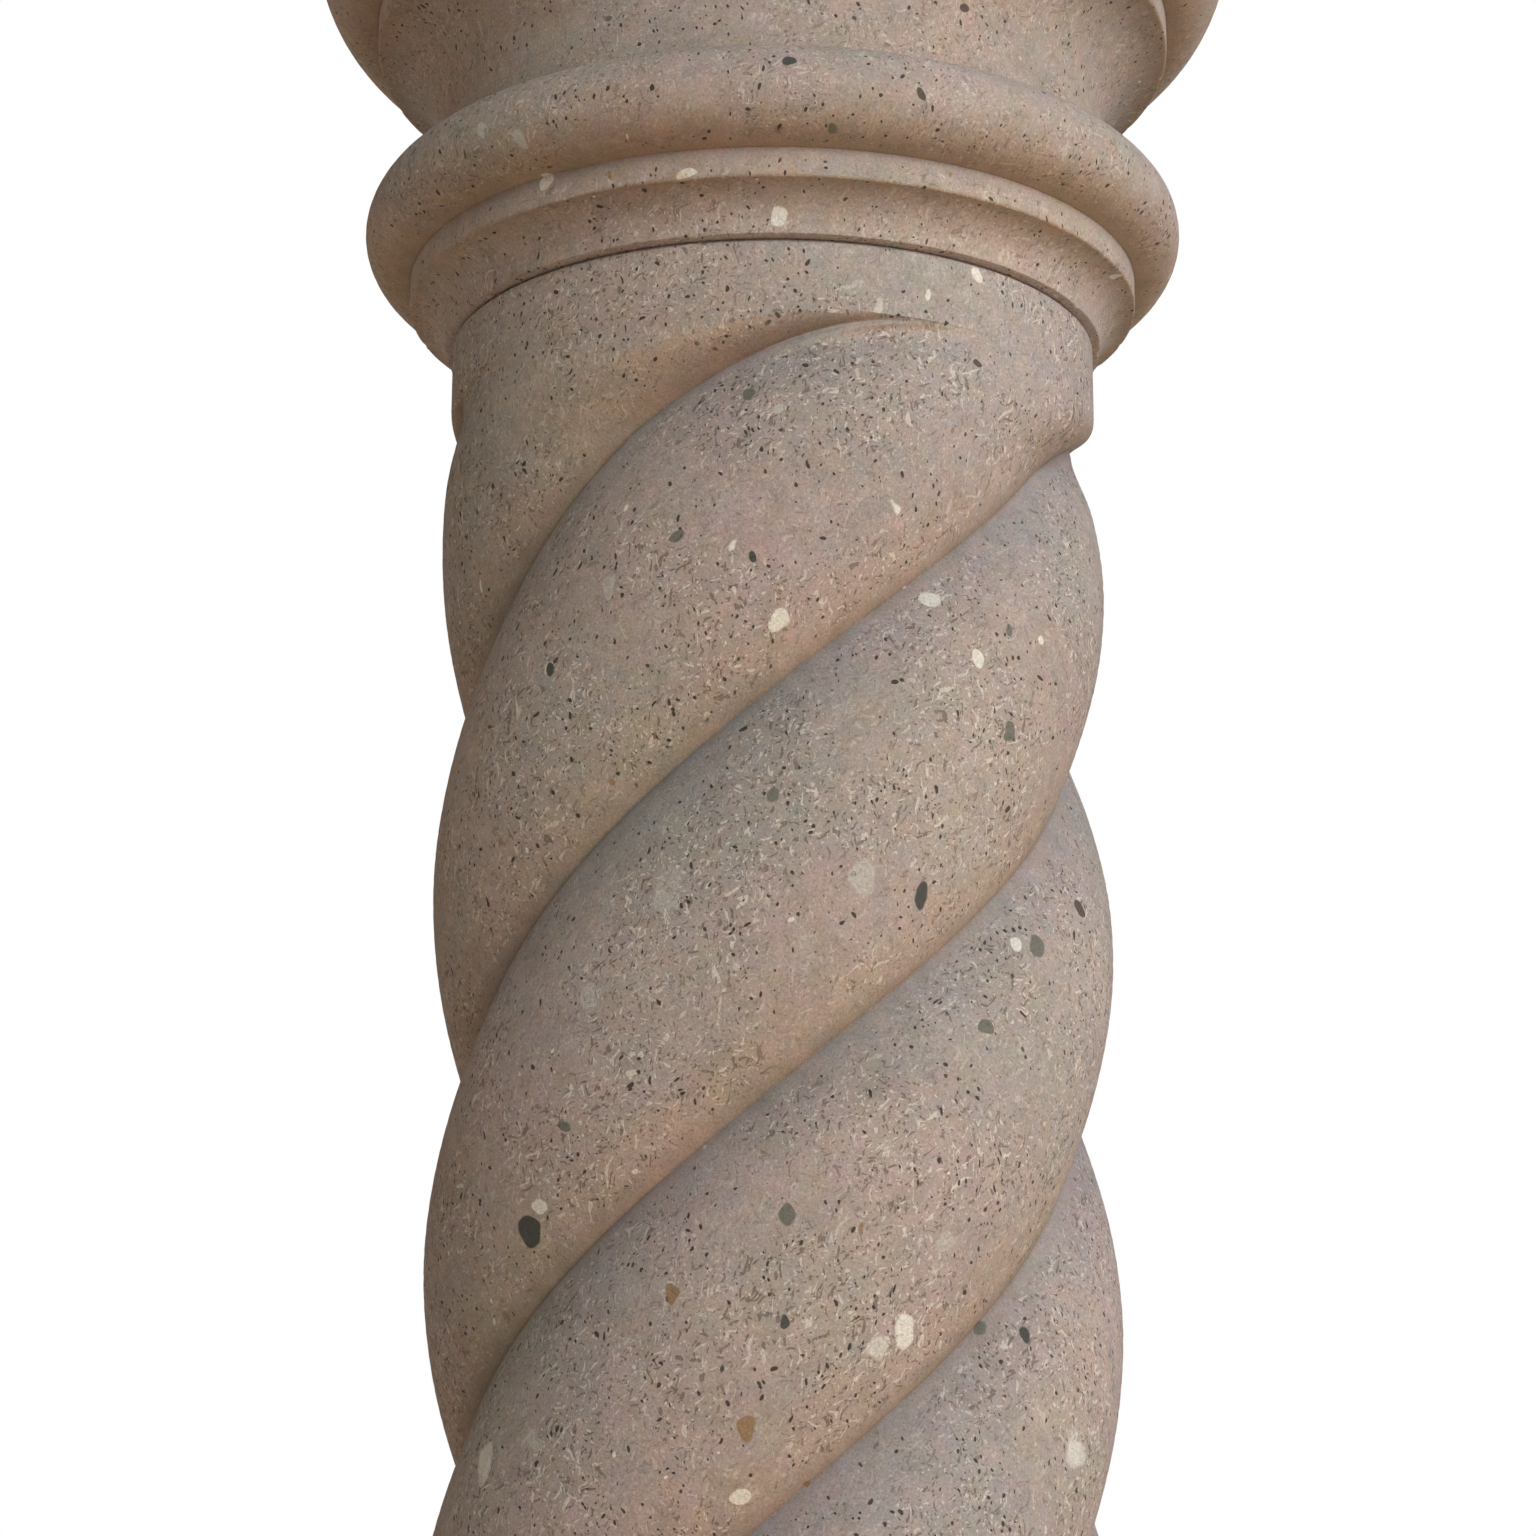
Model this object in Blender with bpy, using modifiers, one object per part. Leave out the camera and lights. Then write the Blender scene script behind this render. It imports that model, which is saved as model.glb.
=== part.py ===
"""Barley twist column: a shaft of twisted strands between a turned capital and a moulded base.

Metres, +Z up. The column stands on z = 0 with its axis on Z, and its photographed side faces -Y.
"""

import math

import bmesh
import bpy

# Driving dimensions of the shaft
SHAFT_HEIGHT = 1.938
STRAND_COUNT = 4
CREST_RADIUS = 0.150
STRAND_RADIUS = 0.0997
TWIST_PITCH = 0.6435
NECK_RADIUS = 0.1476
NECK_HEIGHT = 0.030
RUNOUT_HEIGHT = 0.045
RUNOUT_SWEEP = math.radians(27.3)
GROOVE_TIP_ANGLE = math.radians(-66.2)
SHAFT_CHAMFER = 0.0015

# How a groove fades at a neck: the powers that shape its sweep and its depth
SWEEP_POWER = 1.3
DEPTH_POWER = 2.4

# Lip, cavetto and fillet, the same on the capital and the base
LIP_OVERHANG = 0.0036
CAVETTO_HEIGHT = 0.0180
CAVETTO_DEPTH = 0.0163
FILLET_HEIGHT = 0.0128

# Capital, above its lower fillet
ASTRAGAL_RADIUS = 0.0209
ASTRAGAL_LEAN = math.radians(134)
NECKING_HEIGHT = 0.0294
BELL_HEIGHT = 0.0410
BELL_DEPTH = 0.0326
BELL_FILLET_HEIGHT = 0.0130
OVOLO_STEP = 0.0019
OVOLO_HEIGHT = 0.0540
OVOLO_DEPTH = 0.0300
OVOLO_FILLET_HEIGHT = 0.0090
ABACUS_OVERHANG = 0.0075
ABACUS_HEIGHT = 0.0585
ABACUS_CHAMFER = 0.0020

# Base, below its upper fillet
BASE_TORUS_RADIUS = 0.0280
BASE_TORUS_LEAN = math.radians(116.5)
PLINTH_MARGIN = 0.0050
PLINTH_HEIGHT = 0.1000
PLINTH_CHAMFER = 0.0030

# Fineness of the round shapes
COLUMNS_PER_STRAND = 10
TURNED_STEPS = 40
ARC_POINTS = 5
BED_JOINT = 0.0003

# Sizes that follow from the ones above
LIP_RADIUS = NECK_RADIUS + LIP_OVERHANG
FILLET_RADIUS = LIP_RADIUS + CAVETTO_DEPTH
NECKING_RADIUS = FILLET_RADIUS + ASTRAGAL_RADIUS * math.cos(ASTRAGAL_LEAN)
BELL_RADIUS = NECKING_RADIUS + BELL_DEPTH
OVOLO_RADIUS = BELL_RADIUS + OVOLO_STEP + OVOLO_DEPTH
ABACUS_RADIUS = OVOLO_RADIUS + ABACUS_OVERHANG
BASE_TORUS_CENTRE = FILLET_RADIUS - BASE_TORUS_RADIUS * math.cos(BASE_TORUS_LEAN)
PLINTH_HALF_WIDTH = BASE_TORUS_CENTRE + BASE_TORUS_RADIUS + PLINTH_MARGIN
BASE_TORUS_MIDDLE = PLINTH_HEIGHT + BASE_TORUS_RADIUS
BASE_FILLET_BOTTOM = BASE_TORUS_MIDDLE + BASE_TORUS_RADIUS * math.sin(BASE_TORUS_LEAN)
BASE_HEIGHT = BASE_FILLET_BOTTOM + FILLET_HEIGHT + CAVETTO_HEIGHT
SHAFT_BOTTOM = BASE_HEIGHT + BED_JOINT
SHAFT_TOP = SHAFT_BOTTOM + SHAFT_HEIGHT
CAPITAL_BOTTOM = SHAFT_TOP + BED_JOINT
STRAND_ANGLE = 2 * math.pi / STRAND_COUNT
STRAND_OFFSET = CREST_RADIUS - STRAND_RADIUS


def clear_scene():
    """Empties the scene and adds one collection for the parts and one for the helpers."""
    for obj in list(bpy.data.objects):
        bpy.data.objects.remove(obj)
    made = []
    for name in ("barley_twist_column", "helpers"):
        collection = bpy.data.collections.new(name)
        bpy.context.scene.collection.children.link(collection)
        made.append(collection)
    return made


def stone(name, colour):
    """A dry stone material with the given linear colour."""
    material = bpy.data.materials.new(name)
    material.use_nodes = True
    shader = material.node_tree.nodes["Principled BSDF"]
    shader.inputs["Base Color"].default_value = (*colour, 1.0)
    shader.inputs["Roughness"].default_value = 0.85
    shader.inputs["Metallic"].default_value = 0.0
    return material


def add_object(name, mesh, collection, material):
    """Puts the mesh in the scene as an object, shaded smooth with its arrises sharp."""
    mesh.materials.append(material)
    mesh.shade_smooth()
    mesh.set_sharp_from_angle(angle=math.radians(32))
    obj = bpy.data.objects.new(name, mesh)
    collection.objects.link(obj)
    return obj


def arc(centre, radii, start, end, points=ARC_POINTS):
    """Points (r, z) along an elliptical arc about centre, with both ends, angles in radians from +r."""
    angles = [start + (end - start) * i / points for i in range(points + 1)]
    return [(centre[0] + radii[0] * math.cos(a), centre[1] + radii[1] * math.sin(a)) for a in angles]


def turned_object(name, profile, collection, material):
    """Turns a profile of (r, z) points, which runs down its outer side, once round the Z axis."""
    outline = bpy.data.meshes.new(name + "_profile")
    points = [(r, 0.0, z) for r, z in profile]
    outline.from_pydata(points, [(i, i + 1) for i in range(len(points) - 1)], [])
    guide = bpy.data.objects.new(name + "_profile", outline)
    collection.objects.link(guide)
    screw = guide.modifiers.new("turn", "SCREW")
    screw.axis = "Z"
    screw.steps = TURNED_STEPS
    screw.render_steps = TURNED_STEPS
    screw.use_merge_vertices = True
    screw.merge_threshold = 0.0001
    turned = guide.evaluated_get(bpy.context.evaluated_depsgraph_get())
    mesh = bpy.data.meshes.new_from_object(turned)
    bpy.data.objects.remove(guide)
    return add_object(name, mesh, collection, material)


def runout_share(distance):
    """How far into its run-out a groove is, from 0 at its tip to 1 where it is a plain helix."""
    return min(max(distance / RUNOUT_HEIGHT, 0.0), 1.0)


def runout_sweep(distance):
    """The extra angle that a groove has swept, at this height from its tip."""
    return RUNOUT_SWEEP * (1 - (1 - math.sqrt(runout_share(distance))) ** SWEEP_POWER)


def groove_angle(height):
    """Angle about Z of one groove's bottom line at this height of the shaft, from its lower end."""
    below_top = SHAFT_HEIGHT - NECK_HEIGHT - height
    above_bottom = height - NECK_HEIGHT
    helix = 2 * math.pi * below_top / TWIST_PITCH
    swept = runout_sweep(below_top) + RUNOUT_SWEEP - runout_sweep(above_bottom)
    return GROOVE_TIP_ANGLE - helix - swept


def groove_depth(height):
    """The share of the full carving that the strands have at this height, from 0 at the necks to 1."""
    share = 1.0
    for distance in (SHAFT_HEIGHT - NECK_HEIGHT - height, height - NECK_HEIGHT):
        share *= 1 - (1 - runout_share(distance)) ** DEPTH_POWER
    return share


def shaft_radius(angle_from_groove, depth):
    """Radius of the strands' outline at an angle from a groove, faded towards the round neck."""
    from_crest = angle_from_groove % STRAND_ANGLE - STRAND_ANGLE / 2
    sideways = STRAND_OFFSET * math.sin(from_crest)
    strand = STRAND_OFFSET * math.cos(from_crest) + math.sqrt(STRAND_RADIUS**2 - sideways**2)
    return NECK_RADIUS + depth * (strand - NECK_RADIUS)


def height_at(angle):
    """The height where a groove has the given angle, by halving."""
    low, high = NECK_HEIGHT, SHAFT_HEIGHT - NECK_HEIGHT
    for _ in range(48):
        middle = (low + high) / 2
        if groove_angle(middle) < angle:
            low = middle
        else:
            high = middle
    return (low + high) / 2


def shaft_levels():
    """Heights of the carved rings: one mesh column of twist apart in the run-outs, two between them."""
    column = STRAND_ANGLE / COLUMNS_PER_STRAND
    first, last = groove_angle(NECK_HEIGHT), groove_angle(SHAFT_HEIGHT - NECK_HEIGHT)
    runout_turn = RUNOUT_SWEEP + 2 * math.pi * RUNOUT_HEIGHT / TWIST_PITCH
    fine = math.ceil(runout_turn / column)
    coarse = round((last - first - 2 * fine * column) / (2 * column))
    step = (last - first - 2 * fine * column) / coarse
    angles = [first + i * column for i in range(fine)]
    angles += [first + fine * column + i * step for i in range(coarse)]
    angles += [last - (fine - i) * column for i in range(fine)]
    return [NECK_HEIGHT] + [height_at(angle) for angle in angles[1:]] + [SHAFT_HEIGHT - NECK_HEIGHT]


def shaft_ring(mesh, height, start, depth, inset=0.0):
    """One ring of the shaft's points, starting at a groove."""
    count = STRAND_COUNT * COLUMNS_PER_STRAND
    ring = []
    for i in range(count):
        turned = 2 * math.pi * i / count
        radius = shaft_radius(turned, depth) - inset
        angle = start + turned
        ring.append(mesh.verts.new((radius * math.cos(angle), radius * math.sin(angle), height)))
    return ring


def make_shaft(collection, material):
    """The shaft: rings of the strands' outline that turn with the grooves, lofted and closed."""
    mesh = bmesh.new()
    low_angle = groove_angle(NECK_HEIGHT)
    high_angle = groove_angle(SHAFT_HEIGHT - NECK_HEIGHT)
    rings = [
        shaft_ring(mesh, 0.0, low_angle, 0.0, SHAFT_CHAMFER),
        shaft_ring(mesh, SHAFT_CHAMFER, low_angle, 0.0),
    ]
    for height in shaft_levels():
        rings.append(shaft_ring(mesh, height, groove_angle(height), groove_depth(height)))
    rings.append(shaft_ring(mesh, SHAFT_HEIGHT - SHAFT_CHAMFER, high_angle, 0.0))
    rings.append(shaft_ring(mesh, SHAFT_HEIGHT, high_angle, 0.0, SHAFT_CHAMFER))
    for lower, upper in zip(rings, rings[1:]):
        for i in range(len(lower)):
            j = (i + 1) % len(lower)
            mesh.faces.new((lower[i], lower[j], upper[j], upper[i]))
    mesh.faces.new(reversed(rings[0]))
    mesh.faces.new(rings[-1])
    data = bpy.data.meshes.new("shaft")
    mesh.to_mesh(data)
    mesh.free()
    obj = add_object("shaft", data, collection, material)
    obj.location.z = SHAFT_BOTTOM
    return obj


def lip_profile(lip_height, direction):
    """Fillet, cavetto and lip of a capital (direction 1) or a base (-1), from the fillet to the lip."""
    fillet_end = lip_height + direction * CAVETTO_HEIGHT
    hollow = arc(
        (FILLET_RADIUS, lip_height),
        (-CAVETTO_DEPTH, direction * CAVETTO_HEIGHT),
        math.pi / 2,
        0.0,
    )
    return [(FILLET_RADIUS, fillet_end + direction * FILLET_HEIGHT)] + hollow


def capital_profile():
    """The capital's outline from the middle of its top down to the middle of its underside."""
    astragal_middle = CAVETTO_HEIGHT + FILLET_HEIGHT + ASTRAGAL_RADIUS
    necking_top = astragal_middle + ASTRAGAL_RADIUS + NECKING_HEIGHT
    bell_top = necking_top + BELL_HEIGHT
    ovolo_bottom = bell_top + BELL_FILLET_HEIGHT
    ovolo_top = ovolo_bottom + OVOLO_HEIGHT
    abacus_bottom = ovolo_top + OVOLO_FILLET_HEIGHT
    top = abacus_bottom + ABACUS_HEIGHT
    points = [
        (0.0, top),
        (ABACUS_RADIUS - ABACUS_CHAMFER, top),
        (ABACUS_RADIUS, top - ABACUS_CHAMFER),
        (ABACUS_RADIUS, abacus_bottom),
        (OVOLO_RADIUS, abacus_bottom),
    ]
    ovolo_foot = OVOLO_RADIUS - OVOLO_DEPTH
    points += arc((ovolo_foot, ovolo_top), (OVOLO_DEPTH, OVOLO_HEIGHT), 0.0, -math.pi / 2)
    points += [(BELL_RADIUS, ovolo_bottom)]
    points += arc((BELL_RADIUS, necking_top), (-BELL_DEPTH, BELL_HEIGHT), math.pi / 2, 0.0)
    radii = (ASTRAGAL_RADIUS, ASTRAGAL_RADIUS)
    centre = (FILLET_RADIUS, astragal_middle)
    points += arc(centre, radii, ASTRAGAL_LEAN, -math.pi / 2, 2 * ARC_POINTS)
    points += lip_profile(0.0, 1)[1:]
    points += [(0.0, 0.0)]
    return points


def base_profile():
    """The base's turned outline from its lip down to inside the plinth."""
    lip = lip_profile(BASE_HEIGHT, -1)
    points = [(0.0, BASE_HEIGHT)] + lip[:0:-1]
    radii = (BASE_TORUS_RADIUS, BASE_TORUS_RADIUS)
    centre = (BASE_TORUS_CENTRE, BASE_TORUS_MIDDLE)
    points += arc(centre, radii, BASE_TORUS_LEAN, -math.pi / 2, 2 * ARC_POINTS)
    inside = PLINTH_HEIGHT / 2
    points += [(BASE_TORUS_CENTRE, inside), (0.0, inside)]
    return points


def make_base(collection, helpers, material):
    """The base: a square plinth with chamfered edges, joined to its turned mouldings."""
    mesh = bmesh.new()
    bmesh.ops.create_cube(mesh, size=1.0)
    width = 2 * PLINTH_HALF_WIDTH
    bmesh.ops.scale(mesh, vec=(width, width, PLINTH_HEIGHT), verts=mesh.verts)
    data = bpy.data.meshes.new("base")
    mesh.to_mesh(data)
    mesh.free()
    plinth = add_object("base", data, collection, material)
    plinth.location.z = PLINTH_HEIGHT / 2
    edges = plinth.modifiers.new("arrises", "BEVEL")
    edges.width = PLINTH_CHAMFER
    edges.segments = 1
    mouldings = turned_object("base_mouldings", base_profile(), helpers, material)
    mouldings.hide_render = True
    mouldings.display_type = "WIRE"
    joined = plinth.modifiers.new("mouldings", "BOOLEAN")
    joined.operation = "UNION"
    joined.object = mouldings
    return plinth


def make_capital(collection, material):
    """The capital, turned in one piece."""
    capital = turned_object("capital", capital_profile(), collection, material)
    capital.location.z = CAPITAL_BOTTOM
    return capital


def main():
    """Builds the three stones of the column."""
    parts, helpers = clear_scene()
    make_base(parts, helpers, stone("base_stone", (0.335, 0.270, 0.225)))
    make_shaft(parts, stone("shaft_stone", (0.345, 0.275, 0.232)))
    make_capital(parts, stone("capital_stone", (0.355, 0.280, 0.236)))


main()
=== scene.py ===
"""Looks of the barley twist column: its three carved stones, their finish, the studio and the camera.

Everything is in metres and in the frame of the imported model: +Z up, the photographed side facing -Y.
"""

from __future__ import annotations

import logging
import math
from dataclasses import dataclass
from enum import Enum
from typing import Any, Mapping, Optional, Sequence, Union

import bpy
import numpy as np
from mathutils import Euler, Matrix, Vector

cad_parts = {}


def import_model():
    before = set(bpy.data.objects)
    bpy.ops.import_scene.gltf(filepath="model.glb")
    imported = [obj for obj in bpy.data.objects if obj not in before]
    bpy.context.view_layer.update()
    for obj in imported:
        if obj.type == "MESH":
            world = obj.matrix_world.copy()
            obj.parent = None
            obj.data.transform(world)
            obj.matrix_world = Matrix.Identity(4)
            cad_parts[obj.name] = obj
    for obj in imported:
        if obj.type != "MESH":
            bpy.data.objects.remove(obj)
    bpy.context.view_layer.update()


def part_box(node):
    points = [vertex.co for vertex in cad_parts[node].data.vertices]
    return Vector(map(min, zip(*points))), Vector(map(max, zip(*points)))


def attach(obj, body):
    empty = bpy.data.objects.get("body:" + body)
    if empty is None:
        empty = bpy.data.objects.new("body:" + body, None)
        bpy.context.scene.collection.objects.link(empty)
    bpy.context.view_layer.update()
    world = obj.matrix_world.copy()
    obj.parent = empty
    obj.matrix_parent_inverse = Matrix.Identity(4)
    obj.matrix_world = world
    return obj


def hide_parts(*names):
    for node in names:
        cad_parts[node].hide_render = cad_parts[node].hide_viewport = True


LOG = logging.getLogger("barley_twist_column")
MM = 0.001
CREASE = "crease"
FAR = 60 * MM
SHARP_ANGLE = math.radians(38)
EASED_SHARE = 0.45

Pair = tuple[float, float]
Triple = tuple[float, float, float]
ProfilePoint = tuple[float, float, float]


class Wire:
    """A node's output, which Python's operators extend with Math nodes."""

    def __init__(self, graph: "Graph", socket: bpy.types.NodeSocket) -> None:
        """Keeps the graph and the output socket."""
        self.graph = graph
        self.socket = socket

    def maths(self, operation: str, *values: Any) -> "Wire":
        """Adds one Math node.

        Args:
            operation: the Math node's operation.
            values: what goes into its sockets, in order.

        Returns:
            The node's result.
        """
        return self.graph.node("ShaderNodeMath", {"operation": operation}, dict(enumerate(values)))

    def __add__(self, other: Any) -> "Wire":
        """The sum."""
        return self.maths("ADD", self, other)

    def __radd__(self, other: Any) -> "Wire":
        """The sum, with the number first."""
        return self.maths("ADD", other, self)

    def __sub__(self, other: Any) -> "Wire":
        """The difference."""
        return self.maths("SUBTRACT", self, other)

    def __rsub__(self, other: Any) -> "Wire":
        """The difference, with the number first."""
        return self.maths("SUBTRACT", other, self)

    def __mul__(self, other: Any) -> "Wire":
        """The product."""
        return self.maths("MULTIPLY", self, other)

    def __rmul__(self, other: Any) -> "Wire":
        """The product, with the number first."""
        return self.maths("MULTIPLY", other, self)

    def below(self, limit: Any) -> "Wire":
        """1 where this is under the limit, and 0 elsewhere."""
        return self.maths("LESS_THAN", self, limit)

    def larger(self, other: Any) -> "Wire":
        """The larger of the two."""
        return self.maths("MAXIMUM", self, other)

    def eased(self, low: float, high: float) -> "Wire":
        """Rises smoothly from 0 to 1.

        Args:
            low: the value that gives 0.
            high: the value that gives 1, which may be the smaller one.

        Returns:
            The eased value, held at its ends.
        """
        settings = {"interpolation_type": "SMOOTHSTEP", "clamp": True}
        sockets = {"Value": self, "From Min": low, "From Max": high}
        return self.graph.node("ShaderNodeMapRange", settings, sockets)


class VectorWire(Wire):
    """A vector output, which the operators extend with Vector Math nodes."""

    def vector_maths(self, operation: str, other: Any) -> "VectorWire":
        """Adds one Vector Math node.

        Args:
            operation: the Vector Math node's operation.
            other: the second vector, or a number that stands for all three of its numbers.

        Returns:
            The node's vector.
        """
        second = (other, other, other) if isinstance(other, (int, float)) else other
        made = self.graph.node("ShaderNodeVectorMath", {"operation": operation}, {0: self, 1: second})
        return VectorWire(self.graph, made.socket)

    def __add__(self, other: Any) -> "VectorWire":
        """The vector sum."""
        return self.vector_maths("ADD", other)

    def __sub__(self, other: Any) -> "VectorWire":
        """The vector difference."""
        return self.vector_maths("SUBTRACT", other)

    def __mul__(self, other: Any) -> "VectorWire":
        """The product, number by number."""
        return self.vector_maths("MULTIPLY", other)

    def length(self) -> Wire:
        """The vector's length."""
        return self.graph.node("ShaderNodeVectorMath", {"operation": "LENGTH"}, {0: self}, "Value")

    def part(self, name: str) -> Wire:
        """One of the vector's numbers, X, Y or Z."""
        return self.graph.node("ShaderNodeSeparateXYZ", {}, {0: self}, name)


class Graph:
    """A node tree, built by naming each node's type, settings and sockets."""

    def __init__(self, tree: bpy.types.NodeTree) -> None:
        """Empties the tree."""
        self.tree = tree
        tree.nodes.clear()

    def node(
        self,
        kind: str,
        settings: Optional[Mapping[str, Any]] = None,
        sockets: Optional[Mapping[Union[str, int], Any]] = None,
        output: Union[str, int] = 0,
    ) -> Optional[Wire]:
        """Adds any node.

        Args:
            kind: the node's type.
            settings: its own settings, and a ramp's "stops" as pairs of place and colour.
            sockets: the value or the wire for each input, by name or number.
            output: the output to return, by name or number.

        Returns:
            The chosen output, or None for a node that has none.
        """
        made = self.tree.nodes.new(kind)
        for name, value in (settings or {}).items():
            if name == "stops":
                self.set_stops(made.color_ramp, value)
            else:
                setattr(made, name, value)
        for name, value in (sockets or {}).items():
            if isinstance(value, Wire):
                self.tree.links.new(value.socket, made.inputs[name])
            else:
                made.inputs[name].default_value = value
        return Wire(self, made.outputs[output]) if made.outputs else None

    @staticmethod
    def set_stops(ramp: bpy.types.ColorRamp, stops: Sequence[tuple[float, Triple]]) -> None:
        """Gives a colour ramp its stops.

        Args:
            ramp: the ramp, with its two first stops.
            stops: pairs of place and colour, from left to right.
        """
        while len(ramp.elements) < len(stops):
            ramp.elements.new(1.0)
        for element, (place, colour) in zip(ramp.elements, stops):
            element.position = place
            element.color = (*colour, 1.0)

    def place(self) -> VectorWire:
        """The surface's own coordinates, which here are metres in the model's frame."""
        return VectorWire(self, self.node("ShaderNodeTexCoord", {}, {}, "Object").socket)

    def looking_up(self) -> Wire:
        """How far the surface looks up, from -1 to 1."""
        return VectorWire(self, self.node("ShaderNodeNewGeometry", {}, {}, "Normal").socket).part("Z")

    def noise(self, place: VectorWire, per_metre: float, detail: float = 2.0, rough: float = 0.5) -> Wire:
        """Soft noise from about 0.25 to 0.75.

        Args:
            place: the coordinates.
            per_metre: how many of its largest swells fit in a metre.
            detail: how many finer layers it has.
            rough: how strong the finer layers are.

        Returns:
            The noise.
        """
        sockets = {"Vector": place, "Scale": per_metre, "Detail": detail, "Roughness": rough}
        return self.node("ShaderNodeTexNoise", {"noise_dimensions": "3D"}, sockets, 0)

    def noise_vector(self, place: VectorWire, per_metre: float, detail: float = 1.0) -> VectorWire:
        """Three noises as a vector, centred on zero.

        Args:
            place: the coordinates.
            per_metre: how many of its largest swells fit in a metre.
            detail: how many finer layers it has.

        Returns:
            The vector, from about -0.25 to 0.25 each way.
        """
        sockets = {"Vector": place, "Scale": per_metre, "Detail": detail}
        colour = self.node("ShaderNodeTexNoise", {"noise_dimensions": "3D"}, sockets, 1)
        return VectorWire(self, colour.socket) - 0.5

    def grey(self, value: Wire) -> Wire:
        """A colour with the same value in all three channels."""
        return self.node("ShaderNodeCombineXYZ", {}, {0: value, 1: value, 2: value})

    def mix(self, factor: Any, first: Any, second: Any, blend: str = "MIX") -> Wire:
        """Mixes two colours.

        Args:
            factor: the share of the second.
            first: the first colour or its wire.
            second: the second colour or its wire.
            blend: the Mix node's way of mixing.

        Returns:
            The mixed colour.
        """
        settings = {"data_type": "RGBA", "blend_type": blend}
        sockets = {0: factor, 6: self.opaque(first), 7: self.opaque(second)}
        return self.node("ShaderNodeMix", settings, sockets, 2)

    @staticmethod
    def opaque(colour: Any) -> Any:
        """A plain colour with its alpha, or the wire as it is."""
        return colour if isinstance(colour, Wire) else (*colour, 1.0)


class Clast(Enum):
    """The kinds of fragment in the tuff, each by its colour."""

    CHARCOAL = (0.042, 0.046, 0.042)
    UMBER = (0.075, 0.052, 0.038)
    GREY_GREEN = (0.135, 0.130, 0.106)
    CREAM = (0.700, 0.655, 0.595)
    PALE = (0.470, 0.440, 0.400)
    OCHRE = (0.270, 0.165, 0.085)


@dataclass(frozen=True)
class PlacedClast:
    """A large fragment that shows at a given place.

    Its place is the angle from the front, to the right, and the drop below the shaft's top in
    millimetres, which is negative on the capital. Its size is its width and height in millimetres.
    """

    kind: Clast
    degrees: float
    drop: float
    width: float
    height: float
    strength: float


@dataclass(frozen=True)
class SeenClast:
    """A large fragment as the photograph shows it, read off in the photograph's pixels.

    Its place is its middle, across from the left edge and down from the top edge.
    """

    kind: Clast
    across: float
    down: float
    width: float
    height: float
    strength: float = 0.92


@dataclass(frozen=True)
class Viewpoint:
    """Where the photograph was taken from, found from its perspective in shaft radii."""

    joint_height: float
    shaft_top: float
    shaft_radius: float = 150.0 * MM
    distance: float = 7.807
    joint_above: float = 2.893
    pitch: float = 11.68
    focal_pixels: float = 2659.0
    axis_pixel: float = 772.5
    image_pixels: float = 1536.0
    sensor: float = 36.0
    least_facing: float = 0.4

    def place(self) -> Vector:
        """The point that the photograph was taken from."""
        drop = self.joint_above * self.shaft_radius
        return Vector((0.0, -self.distance * self.shaft_radius, self.joint_height - drop))

    def turn(self) -> Euler:
        """How the camera is turned from looking straight down."""
        return Euler((math.radians(90 + self.pitch), 0.0, 0.0))

    def camera(self) -> bpy.types.Object:
        """Puts the camera where the photograph was taken from.

        Returns:
            The camera.
        """
        data = bpy.data.cameras.new("camera")
        data.sensor_width = self.sensor
        data.lens = self.focal_pixels * self.sensor / self.image_pixels
        data.shift_x = (self.image_pixels / 2 - self.axis_pixel) / self.image_pixels
        made = bpy.data.objects.new("camera", data)
        made.location = self.place()
        made.rotation_euler = self.turn()
        bpy.context.scene.collection.objects.link(made)
        bpy.context.scene.camera = made
        return made

    def placed(self, clast: SeenClast, stone: bpy.types.Object, step: float) -> PlacedClast:
        """Finds where on a stone a fragment of the photograph is.

        The result is in whole degrees and millimetres, because a place read off the photograph is no finer.

        Args:
            clast: the fragment in the photograph.
            stone: the stone that it is in.
            step: the step of the drop in millimetres.

        Returns:
            The fragment on the stone.

        Raises:
            ValueError: if the fragment's line of sight misses the stone.
        """
        turn, middle = self.turn().to_matrix(), self.image_pixels / 2
        sight = turn @ Vector((clast.across - self.axis_pixel, middle - clast.down, -self.focal_pixels))
        struck, point, normal, _ = stone.ray_cast(self.place(), sight.normalized())
        if not struck:
            raise ValueError(f"{clast} is not on {stone.name}")
        away = (point - self.place()).dot(turn @ Vector((0.0, 0.0, -1.0)))
        pixel = away / self.focal_pixels / MM
        facing = abs(normal.y) / math.hypot(normal.x, normal.y)
        return PlacedClast(
            clast.kind,
            degrees=round(math.degrees(math.atan2(point.x, -point.y))),
            drop=round((self.shaft_top - point.z) / MM / step) * step,
            width=round(clast.width * pixel / max(facing, self.least_facing)),
            height=round(clast.height * pixel),
            strength=clast.strength,
        )


@dataclass(frozen=True)
class ScatteredClasts:
    """Fragments of one size range, scattered through the stone.

    The presence is the share of the cells that hold one, the radii are in parts of a cell, and the
    squash is how much the cells are stretched along each axis.
    """

    cells_per_metre: float
    presence: float
    smallest: float
    largest: float
    kinds: tuple[Clast, ...]
    strength: float = 0.9
    squash: Triple = (1.0, 1.0, 0.7)
    edge: Pair = (-0.02, 0.03)


@dataclass(frozen=True)
class Shreds:
    """Thin pale and dark shreds that lie one way in the stone, in degrees about the axes."""

    turn: Triple
    per_metre: float = 520.0
    stretch: float = 4.4


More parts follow.
